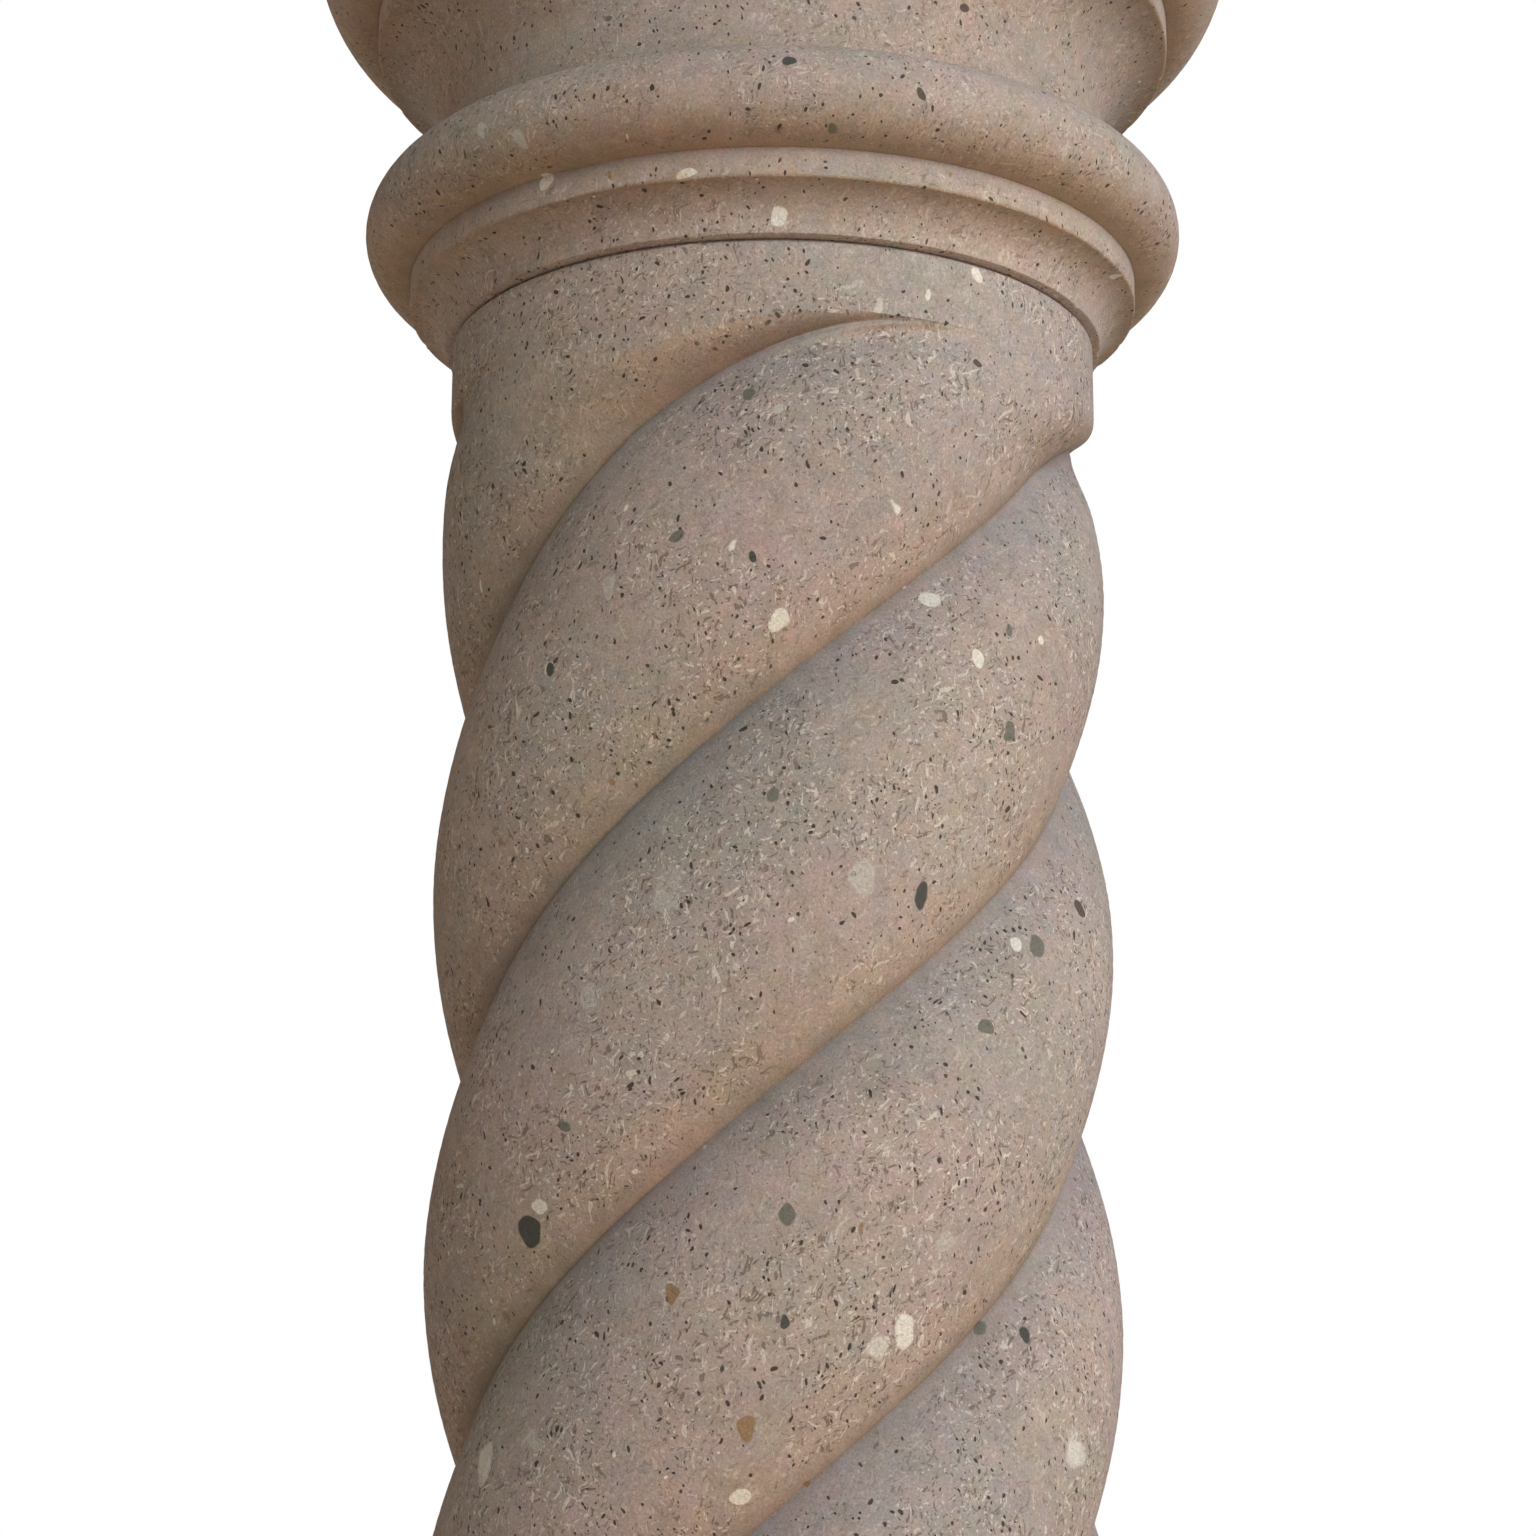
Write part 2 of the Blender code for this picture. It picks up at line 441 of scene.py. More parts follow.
@dataclass(frozen=True)
class Patches:
    """A strength that wanders from place to place between a least and a most."""

    per_metre: float
    edge: Pair
    least: float
    most: float

    def strength(self, graph: Graph, place: VectorWire) -> Wire:
        """The strength at each point.

        Args:
            graph: the material's graph.
            place: the stone's coordinates.

        Returns:
            The strength.
        """
        noise = graph.noise(place, self.per_metre, 0.0)
        return noise.eased(*self.edge) * (self.most - self.least) + self.least


@dataclass(frozen=True)
class Relief:
    """How far each feature of the stone stands up or lies deep, as shares of the bump's depth."""

    grain: float = 0.60
    light: float = 0.25
    dark: float = 0.45
    pore: float = 0.90
    strength: float = 0.8
    depth: float = 0.6 * MM

    def normal(self, graph: Graph, grain: Wire, light: Wire, dark: Wire, pore: Wire) -> Wire:
        """The bumped normal.

        Args:
            graph: the material's graph.
            grain: the fine grain.
            light: the mask of the pale shreds.
            dark: the mask of the dark shreds.
            pore: the mask of the pores.

        Returns:
            The normal.
        """
        height = grain * self.grain + light * self.light - dark * self.dark - pore * self.pore
        sockets = {"Strength": self.strength, "Distance": self.depth, "Height": height}
        return graph.node("ShaderNodeBump", {}, sockets)


@dataclass(frozen=True)
class PaintedCreaseLight:
    """Painted light and shade beside an inner corner: a change of colour, full up to one distance and gone
    at another.

    The shares are how much of it the faces that look up and those that look down have.
    """

    tint: Triple
    near: float
    far: float
    upward: float = 1.0
    downward: float = 1.0


# Painted light: downward faces near an inner corner are painted warmer, as under warm light bounced up from
# below.
PAINTED_WARM_BOUNCE = PaintedCreaseLight((1.02, 0.97, 0.90), 12.0 * MM, 30.0 * MM, 0.0, 1.0)
# Painted shade: upward faces near an inner corner are painted darker and cooler, as shade in the crease.
PAINTED_COOL_CREASE_SHADE = PaintedCreaseLight((0.85, 0.88, 0.93), 5.0 * MM, 38.0 * MM, 1.0, 0.0)
# Painted shade: the faces right beside an inner corner are painted darker, mostly those that look down, as
# shade in the groove.
PAINTED_GROOVE_SHADE = PaintedCreaseLight((0.80, 0.78, 0.75), 0.0, 12.0 * MM, 0.2, 1.0)
# Painted shade: downward faces near the mouldings' inner corners are painted darker and warmer, as shade
# under the mouldings.
PAINTED_MOULDING_SHADE = PaintedCreaseLight((0.88, 0.78, 0.65), 6.0 * MM, 30.0 * MM, 0.0, 1.0)
# Painted light: upward faces near an inner corner are painted lighter, as light falling on the ledges.
PAINTED_LEDGE_LIGHT = PaintedCreaseLight((1.14, 1.11, 1.09), 10.0 * MM, 34.0 * MM, 1.0, 0.0)
# Painted shade: a thin darker line right along each inner corner.
PAINTED_CREASE_SHADE_LINE = PaintedCreaseLight((0.88, 0.86, 0.83), 0.2 * MM, 1.3 * MM)


@dataclass(frozen=True)
class TuffFinish:
    """Honed volcanic tuff: a mottled matrix with shreds, pores and fragments.

    The mottle and the drift are how far the colour wanders towards warm, cool and pale, in small and
    in large swells. An edge is where a mask starts and where it is full. The facing is painted light:
    how much cooler the faces that look up are painted, with those that look down painted warmer.
    """

    ground: Triple = (0.364, 0.295, 0.266)
    shred_light: Triple = (0.600, 0.530, 0.475)
    shred_dark: Triple = (0.150, 0.112, 0.090)
    pore: Triple = (0.038, 0.027, 0.021)
    light_strength: float = 0.80
    dark_strength: float = 0.75
    pore_strength: float = 0.92
    roughness: float = 0.80
    specular: float = 0.35
    mottle: Triple = (0.34, 0.34, 0.42)
    mottle_per_metre: float = 105.0
    drift: Triple = (0.26, 0.18, 0.26)
    drift_per_metre: float = 11.0
    grain: float = 0.95
    grain_per_metre: float = 900.0
    grain_roughness: float = 0.15
    clast_gloss: float = 0.14
    # painted light: faces that look up are painted cooler and those that look down warmer
    facing: float = 0.10
    bend: float = 6.0 * MM
    bend_per_metre: float = 130.0
    plain_band: Pair = (1.5 * MM, 7.0 * MM)
    shredding: float = 1.0
    shred_edge: Pair = (0.680, 0.706)
    shred_patches: Patches = Patches(23.0, (0.34, 0.58), 0.40, 1.00)
    dots_per_metre: float = 520.0
    dot_edge: Pair = (0.69, 0.72)
    pore_patches: Patches = Patches(42.0, (0.33, 0.66), 0.25, 1.75)
    outline_bend: float = 5.0 * MM
    outline_edge: float = 0.07
    relief: Relief = Relief()
    slope: Pair = (0.02, 0.22)
    # painted shade and painted light beside the inner corners
    painted_bands: tuple[PaintedCreaseLight, ...] = (PAINTED_WARM_BOUNCE, PAINTED_COOL_CREASE_SHADE, PAINTED_GROOVE_SHADE, PAINTED_CREASE_SHADE_LINE)
    shreds: tuple[Shreds, ...] = (
        Shreds((8.0, 4.0, 0.0)),
        Shreds((64.0, 0.0, 35.0)),
        Shreds((-58.0, 10.0, -40.0)),
    )
    pores: ScatteredClasts = ScatteredClasts(390.0, 0.36, 0.12, 0.34, (Clast.UMBER,))
    scatters: tuple[ScatteredClasts, ...] = (
        ScatteredClasts(150.0, 0.10, 0.10, 0.18, (Clast.CREAM, Clast.CHARCOAL, Clast.PALE, Clast.OCHRE)),
        ScatteredClasts(62.0, 0.12, 0.09, 0.17, (Clast.GREY_GREEN, Clast.CREAM, Clast.OCHRE, Clast.PALE)),
        ScatteredClasts(26.0, 0.08, 0.12, 0.22, (Clast.PALE, Clast.CREAM), 0.6),
    )

    def matrix(self, graph: Graph, place: VectorWire) -> Wire:
        """The ground colour of the stone, which wanders between pinkish, greenish and grey, with painted
        light: cooler on faces that look up and warmer on faces that look down.

        Args:
            graph: the material's graph.
            place: the stone's coordinates.

        Returns:
            The colour.
        """
        small = graph.noise_vector(place, self.mottle_per_metre, 2.0)
        large = graph.noise_vector(place, self.drift_per_metre, 1.0)
        # painted light: cooler on faces that look up, as under cool light from above, and warmer on faces
        # that look down, as under warm light bounced from below
        up = graph.looking_up()
        warm = small.part("X") * self.mottle[0] + large.part("X") * self.drift[0] - up * (0.5 * self.facing)
        cool = small.part("Y") * self.mottle[1] + large.part("Y") * self.drift[1] + up * self.facing
        value = 1 + small.part("Z") * self.mottle[2] + large.part("Z") * self.drift[2]
        channels = {0: value * (warm + 1), 1: value, 2: value * (cool + 1)}
        tint = graph.node("ShaderNodeCombineXYZ", {}, channels)
        return graph.mix(1.0, self.ground, tint, "MULTIPLY")

    def strokes(self, graph: Graph, place: VectorWire, bent: VectorWire, marked: Wire) -> tuple[Wire, Wire]:
        """The pale and dark shreds and dots.

        Args:
            graph: the material's graph.
            place: the stone's coordinates.
            bent: the same, bent a little.
            marked: where the stone has any, which is away from the inner corners.

        Returns:
            The masks of the pale and of the dark ones.
        """
        dots = graph.noise(place + 4.0, self.dots_per_metre, 1.0)
        light, dark = self.extremes(dots, self.dot_edge)
        for layer in self.shreds:
            turn = tuple(math.radians(angle) for angle in layer.turn)
            sockets = {"Vector": bent, "Rotation": turn, "Scale": (1.0, 1.0, layer.stretch)}
            along = graph.node("ShaderNodeMapping", {"vector_type": "TEXTURE"}, sockets)
            noise = graph.noise(VectorWire(graph, along.socket), layer.per_metre, 1.0, 0.4)
            high, low = self.extremes(noise, self.shred_edge)
            light, dark = light.larger(high), dark.larger(low)
        share = self.shred_patches.strength(graph, place) * self.shredding * marked
        return light * share, dark * share

    @staticmethod
    def extremes(noise: Wire, edge: Pair) -> tuple[Wire, Wire]:
        """Where a noise is very high and where it is very low.

        Args:
            noise: the noise, from 0 to 1.
            edge: where the high mask starts and where it is full, and mirrored the low one.

        Returns:
            The two masks.
        """
        return noise.eased(edge[0], edge[1]), noise.eased(1 - edge[0], 1 - edge[1])

    def scatter(
        self, graph: Graph, place: VectorWire, layer: ScatteredClasts, crowd: Any = 1.0
    ) -> tuple[Wire, Wire]:
        """One layer of scattered fragments.

        Args:
            graph: the material's graph.
            place: the stone's bent coordinates.
            layer: what is scattered.
            crowd: how much denser than usual they lie at each point.

        Returns:
            The mask of the fragments, and their colour.
        """
        sockets = {"Vector": place * layer.squash, "Scale": layer.cells_per_metre}
        cell = graph.node("ShaderNodeTexVoronoi", {"feature": "F1"}, sockets, "Distance")
        colour = Wire(graph, cell.socket.node.outputs["Color"])
        chance = graph.node("ShaderNodeSeparateColor", {}, {0: colour}, 0)
        size = Wire(graph, chance.socket.node.outputs[1])
        kind = Wire(graph, chance.socket.node.outputs[2])
        radius = size * size * (layer.largest - layer.smallest) + layer.smallest
        mask = (radius - cell).eased(*layer.edge) * (chance * (1.0 / layer.presence)).below(crowd)
        stops = [(i / len(layer.kinds), clast.value) for i, clast in enumerate(layer.kinds)]
        ramp = graph.node("ShaderNodeValToRGB", {"stops": stops}, {0: kind})
        ramp.socket.node.color_ramp.interpolation = "CONSTANT"
        return mask, ramp

    def painted_crease_light(self, graph: Graph, colour: Wire, crease: Wire) -> Wire:
        """The painted shade and painted light beside the inner corners.

        Args:
            graph: the material's graph.
            colour: the stone's colour.
            crease: the distance to the nearest inner corner.

        Returns:
            The changed colour.
        """
        up = graph.looking_up()
        start, full = self.slope
        upward, downward = up.eased(start, full), up.eased(-start, -full)
        for band in self.painted_bands:
            side = upward * band.upward + downward * band.downward
            share = crease.eased(band.far, band.near) * side
            colour = graph.mix(share, colour, graph.mix(1.0, colour, band.tint, "MULTIPLY"))
        return colour

    def placed(self, graph: Graph, place: VectorWire, clast: PlacedClast, centre: Triple) -> Wire:
        """The share of one placed fragment's colour.

        Args:
            graph: the material's graph.
            place: the stone's coordinates, bent a little so that the outline is uneven.
            clast: the fragment.
            centre: where it is.

        Returns:
            Its strength inside it and 0 outside.
        """
        across, upright = 2.0 / (clast.width * MM), 2.0 / (clast.height * MM)
        away = ((place - centre) * (across, across, upright)).length()
        outer, inner = 1 + self.outline_edge, 1 - self.outline_edge
        sockets = {"Value": away, "From Min": outer, "From Max": inner, "To Max": clast.strength}
        return graph.node("ShaderNodeMapRange", {"clamp": True}, sockets)

    def material(
        self, name: str, offset: Triple, clasts: Sequence[tuple[PlacedClast, Triple]] = ()
    ) -> bpy.types.Material:
        """Builds the material.

        Args:
            name: its name.
            offset: where in the block of tuff this stone was cut.
            clasts: the placed fragments with their centres.

        Returns:
            The material.
        """
        material = bpy.data.materials.new(name)
        material.use_nodes = True
        graph = Graph(material.node_tree)
        here = graph.place()
        place = here + offset
        bend = graph.noise_vector(place, self.bend_per_metre, 0.0)
        bent = place + bend * self.bend
        grain = graph.noise(place, self.grain_per_metre, 2.0, 0.7)
        colour = self.matrix(graph, place)
        crease = graph.node("ShaderNodeAttribute", {"attribute_name": CREASE}, {}, "Fac")
        marked = crease.eased(*self.plain_band)
        light, dark = self.strokes(graph, place, bent, marked)
        colour = graph.mix(dark * self.dark_strength, colour, self.shred_dark)
        colour = graph.mix(light * self.light_strength, colour, self.shred_light)
        crowd = self.pore_patches.strength(graph, place)
        pore = self.scatter(graph, bent, self.pores, crowd)[0] * marked
        colour = graph.mix(pore * self.pore_strength, colour, self.pore)
        hard: Any = 0.0
        for layer in self.scatters:
            mask, shade = self.scatter(graph, bent, layer)
            colour = graph.mix(mask * layer.strength, colour, shade)
            hard = mask + hard
        uneven = here + bend * self.outline_bend
        for clast, centre in clasts:
            colour = graph.mix(self.placed(graph, uneven, clast, centre), colour, clast.kind.value)
        tone = graph.grey((grain - 0.5) * self.grain + 1)
        # painted shade and painted light beside the inner corners go over the stone's colour
        colour = self.painted_crease_light(graph, graph.mix(1.0, colour, tone, "MULTIPLY"), crease)
        sockets = {
            "Base Color": colour,
            "Roughness": self.roughness + (grain - 0.5) * self.grain_roughness - hard * self.clast_gloss,
            "Normal": self.relief.normal(graph, grain, light, dark, pore),
            "Specular IOR Level": self.specular,
        }
        shader = graph.node("ShaderNodeBsdfPrincipled", {}, sockets)
        graph.node("ShaderNodeOutputMaterial", {}, {"Surface": shader})
        return material


def wobble(points: np.ndarray, wavelengths: Sequence[float], seed: int) -> np.ndarray:
    """Smooth unevenness made of a few waves in set directions.

    Args:
        points: the points, with their coordinates last.
        wavelengths: each wave's length in metres.
        seed: picks the directions and the phases.

    Returns:
        One number for each point, from -1 to 1.
    """
    draws = np.random.default_rng(seed)
    total = np.zeros(points.shape[:-1])
    for length in wavelengths:
        way = draws.normal(size=3)
        way *= 2 * math.pi / length / np.linalg.norm(way)
        total += np.sin(points @ way + draws.uniform(0, 2 * math.pi))
    return total / len(wavelengths)


def arc(centre: Pair, radii: Pair, start: float, end: float, steps: int) -> list[ProfilePoint]:
    """Points along an elliptical arc of a profile.

    Args:
        centre: its centre as distance from the axis and height.
        radii: its half widths across and up.
        start: the first angle in degrees, from outwards.
        end: the last angle in degrees.
        steps: the number of steps.

    Returns:
        Profile points that need no easing.
    """
    angles = np.radians(np.linspace(start, end, steps + 1))
    return [(centre[0] + radii[0] * math.cos(a), centre[1] + radii[1] * math.sin(a), 0.0) for a in angles]


def eased_profile(corners: Sequence[ProfilePoint], steps: int = 4) -> tuple[np.ndarray, np.ndarray]:
    """Rounds each corner of a profile that has an easing.

    Args:
        corners: distance from the axis, height and easing of each corner, in order.
        steps: the steps of each rounded corner.

    Returns:
        The points as rows of distance and height, and for each 1 if it lies on a rounded arris.
    """
    points: list[Sequence[float]] = []
    arris: list[float] = []
    for i, (radius, height, ease) in enumerate(corners):
        here = np.array((radius, height))
        if ease <= 0 or i in (0, len(corners) - 1):
            points.append(here)
            arris.append(0.0)
            continue
        before = np.array(corners[i - 1][:2]) - here
        after = np.array(corners[i + 1][:2]) - here
        reach = min(ease, EASED_SHARE * np.linalg.norm(before), EASED_SHARE * np.linalg.norm(after))
        start = here + before / np.linalg.norm(before) * reach
        end = here + after / np.linalg.norm(after) * reach
        for t in np.linspace(0, 1, steps + 1):
            points.append((1 - t) ** 2 * start + 2 * t * (1 - t) * here + t * t * end)
            arris.append(1.0)
    return np.array(points), np.array(arris)


def refined_profile(points: np.ndarray, arris: np.ndarray, step: float) -> tuple[np.ndarray, np.ndarray]:
    """Adds points along the long stretches of a profile.

    Args:
        points: the profile's points.
        arris: which of them lie on an arris.
        step: the longest stretch that is left as it is.

    Returns:
        The denser points and their arris marks.
    """
    dense, marks = [points[0]], [arris[0]]
    for a, b, mark in zip(points, points[1:], arris[1:]):
        parts = max(1, math.ceil(np.linalg.norm(b - a) / step))
        for k in range(1, parts + 1):
            dense.append(a + (b - a) * k / parts)
            marks.append(mark if k == parts else 0.0)
    return np.array(dense), np.array(marks)


def corner_distance(points: np.ndarray, least_turn: float = 30.0) -> np.ndarray:
    """The distance along a profile from each point to its nearest inner corner.

    Args:
        points: the profile's points from the bottom up.
        least_turn: how many degrees an inner corner turns at least.

    Returns:
        The distances.
    """
    steps = np.diff(points, axis=0)
    turns = (np.diff(np.degrees(np.arctan2(steps[:, 1], steps[:, 0]))) + 180) % 360 - 180
    along = np.concatenate([[0.0], np.cumsum(np.linalg.norm(steps, axis=1))])
    corners = along[1:-1][turns < -least_turn]
    return np.abs(along[:, None] - corners[None, :]).min(axis=1)


@dataclass
class Stone:
    """One stone of the column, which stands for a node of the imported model."""

    node: str
    name: str
    slot: str
    offset: Triple
    finish: TuffFinish = TuffFinish()
    clasts: tuple[SeenClast, ...] = ()
    drop_step: float = 1.0

    def placed_clasts(self, made: bpy.types.Object, view: Viewpoint) -> list[PlacedClast]:
        """Finds the photograph's fragments on this stone.

        Args:
            made: the stone's object.
            view: where the photograph was taken from.

        Returns:
            The fragments.
        """
        bpy.context.view_layer.update()
        return [view.placed(clast, made, self.drop_step) for clast in self.clasts]

    def lattice(self, points: np.ndarray, crease: np.ndarray) -> bpy.types.Object:
        """Makes the stone's mesh from rings of points and ties it to the model.

        Args:
            points: rings from the bottom up, each anticlockwise seen from above.
            crease: the distance from each point to the nearest inner corner.

        Returns:
            The new object.
        """
        rings, columns = points.shape[:2]
        index = np.arange(rings * columns).reshape(rings, columns)
        nearby = np.roll(index, -1, axis=1)
        sides = np.stack([index[:-1], nearby[:-1], nearby[1:], index[1:]], axis=-1).reshape(-1, 4)
        faces = sides.tolist() + [index[0, ::-1].tolist(), index[-1].tolist()]
        mesh = bpy.data.meshes.new(self.name)
        mesh.from_pydata(points.reshape(-1, 3).tolist(), [], faces)
        mesh.shade_smooth()
        mesh.set_sharp_from_angle(angle=SHARP_ANGLE)
        distance = mesh.attributes.new(CREASE, "FLOAT", "POINT")
        distance.data.foreach_set("value", np.minimum(crease, FAR).astype(np.float32).ravel())
        made = bpy.data.objects.new(self.name, mesh)
        bpy.context.scene.collection.objects.link(made)
        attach(made, "root")
        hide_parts(self.node)
        LOG.info("%s: %d faces in place of %s", self.name, len(mesh.polygons), self.node)
        return made


@dataclass
class TurnedStone(Stone):
    """A stone turned round the column's axis, with a lip and a cavetto beside the shaft."""

    lip_radius: float = 151.2 * MM
    lip_chamfer: Pair = (1.5 * MM, 0.4 * MM)
    cavetto: Pair = (16.3 * MM, 18.0 * MM)
    cavetto_start: float = 4.0
    ease: float = 1.4 * MM
    segments: int = 288
    longest_step: float = 5 * MM
    unevenness: float = 0.25 * MM
    swells: tuple[float, ...] = (50 * MM, 70 * MM, 95 * MM, 140 * MM)
    nick_depth: float = 0.9 * MM
    nick_lengths: tuple[float, ...] = (6 * MM, 9 * MM, 13 * MM, 21 * MM, 34 * MM)
    nick_range: Pair = (0.30, 0.70)
    seed: int = 5
    # the capital and the base paint shade and light beside their mouldings' inner corners
    finish: TuffFinish = TuffFinish(
        ground=(0.374, 0.296, 0.262), shredding=0.65, painted_bands=(PAINTED_MOULDING_SHADE, PAINTED_LEDGE_LIGHT, PAINTED_CREASE_SHADE_LINE)
    )

    def angles(self) -> np.ndarray:
        """The angle of each segment about the axis."""
        return np.linspace(0, 2 * math.pi, self.segments, endpoint=False)

    def turned(self, points: np.ndarray) -> np.ndarray:
        """Turns a profile round the axis.

        Args:
            points: the profile's points from the bottom up.

        Returns:
            The rings of points.
        """
        angles = self.angles()
        radius, height = points[:, :1], points[:, 1:]
        flat = np.ones_like(angles)
        return np.stack([radius * np.cos(angles), radius * np.sin(angles), height * flat], -1)

    def worn(self, points: np.ndarray, arris: np.ndarray) -> np.ndarray:
        """Makes the surface a little uneven and nicks its arrises, always inwards.

        Args:
            points: the rings of points.
            arris: which rings lie on an arris.

        Returns:
            The moved points.
        """
        swell = wobble(points, self.swells, self.seed) * 0.5 + 0.5
        fine = wobble(points, self.nick_lengths, self.seed + 1)
        start, full = self.nick_range
        nicks = np.clip(fine - start, 0, 1) * self.nick_depth / (full - start) * arris[:, None]
        inward = self.unevenness * swell + nicks
        around = np.linalg.norm(points[..., :2], axis=-1)
        moved = points.copy()
        moved[..., :2] *= (1 - inward / np.maximum(around, 1e-6))[..., None]
        return moved


@dataclass
class Capital(TurnedStone):
    """The capital: lip, cavetto, fillet, astragal, necking, bell, ovolo and round abacus."""

    fillet_height: float = 12.8 * MM
    astragal_radius: float = 20.9 * MM
    astragal_lean: float = 134.0
    astragal_gap: float = 0.3 * MM
    necking_height: float = 29.4 * MM
    bell: Pair = (32.6 * MM, 41.0 * MM)
    bell_fillet_height: float = 13.0 * MM
    ovolo_step: float = 1.9 * MM
    ovolo: Pair = (30.0 * MM, 54.0 * MM)
    ovolo_fillet_height: float = 9.0 * MM
    abacus_overhang: float = 7.5 * MM
    abacus_chamfer: Pair = (2.5 * MM, 1.0 * MM)
    abacus_ease: float = 1.6 * MM

    def profile(self, bottom: float, top: float) -> list[ProfilePoint]:
        """The outline from the lip's underside up to the abacus's top.

        Args:
            bottom: the height of the underside.
            top: the height of the top.

        Returns:
            The corners from the bottom up.
        """
        fillet = self.lip_radius + self.cavetto[0]
        fillet_foot = bottom + self.cavetto[1]
        astragal = fillet_foot + self.fillet_height + self.astragal_radius
        necking = fillet + self.astragal_radius * math.cos(math.radians(self.astragal_lean))
        necking_top = astragal + self.astragal_radius + self.necking_height
        bell_top = necking_top + self.bell[1]
        arris = necking + self.bell[0]
        ovolo_foot = bell_top + self.bell_fillet_height
        ovolo_top = ovolo_foot + self.ovolo[1]
        ovolo = arris + self.ovolo_step + self.ovolo[0]
        abacus_foot = ovolo_top + self.ovolo_fillet_height
        abacus = ovolo + self.abacus_overhang
        radii = (self.astragal_radius, self.astragal_radius)
        lip_in, lip_up = self.lip_chamfer
        edge_in, edge_down = self.abacus_chamfer
        start = self.cavetto_start
        corners = [(self.lip_radius - lip_in, bottom, 0.0), (self.lip_radius, bottom + lip_up, lip_up)]
        corners += arc((fillet, bottom), (-self.cavetto[0], self.cavetto[1]), start, 90, steps=10)[:-1]
        corners += [(fillet, fillet_foot, self.ease)]
        corners += [(fillet, astragal - self.astragal_radius - self.astragal_gap, 0.0)]
        corners += arc((fillet, astragal), radii, -90, self.astragal_lean, steps=26)[1:]
        corners += [(necking, necking_top, 0.0)]
        corners += arc((arris, necking_top), (-self.bell[0], self.bell[1]), start, 90, steps=14)[:-1]
        corners += [(arris, bell_top, self.ease), (arris, ovolo_foot, 0.0)]
        corners += [(arris + self.ovolo_step, ovolo_foot, 0.0)]
        corners += arc((arris + self.ovolo_step, ovolo_top), self.ovolo, -90, 0, steps=16)[1:]
        corners += [(ovolo, abacus_foot, 0.0), (abacus, abacus_foot, self.ease)]
        corners += [(abacus, top - edge_down, self.abacus_ease), (abacus - edge_in, top, 0.0)]
        return corners

    def clast_centre(self, clast: PlacedClast, profile: np.ndarray) -> Triple:
        """The point on the surface where a placed fragment is.

        Args:
            clast: the fragment.
            profile: the profile's points from the bottom up.

        Returns:
            The point.
        """
        height = profile[0, 1] - clast.drop * MM
        starts, ends = profile[:-1], profile[1:]
        crossed = (starts[:, 1] - height) * (ends[:, 1] - height) < 0
        share = (height - starts[crossed, 1]) / (ends[crossed, 1] - starts[crossed, 1])
        radius = float((starts[crossed, 0] + share * (ends[crossed, 0] - starts[crossed, 0])).max())
        angle = math.radians(clast.degrees - 90)
        return (radius * math.cos(angle), radius * math.sin(angle), height)

    def build(self, view: Viewpoint) -> bpy.types.Object:
        """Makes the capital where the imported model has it, and dresses it.

        Args:
            view: where the photograph was taken from.

        Returns:
            The capital.
        """
        low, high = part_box(self.node)
        profile, arris = refined_profile(*eased_profile(self.profile(low.z, high.z)), self.longest_step)
        crease = np.tile(corner_distance(profile)[:, None], self.segments)
        made = self.lattice(self.worn(self.turned(profile), arris), crease)
        placed = self.placed_clasts(made, view)
        centres = [(clast, self.clast_centre(clast, profile)) for clast in placed]
        made.data.materials.append(self.finish.material("capital_tuff", self.offset, centres))
        return made


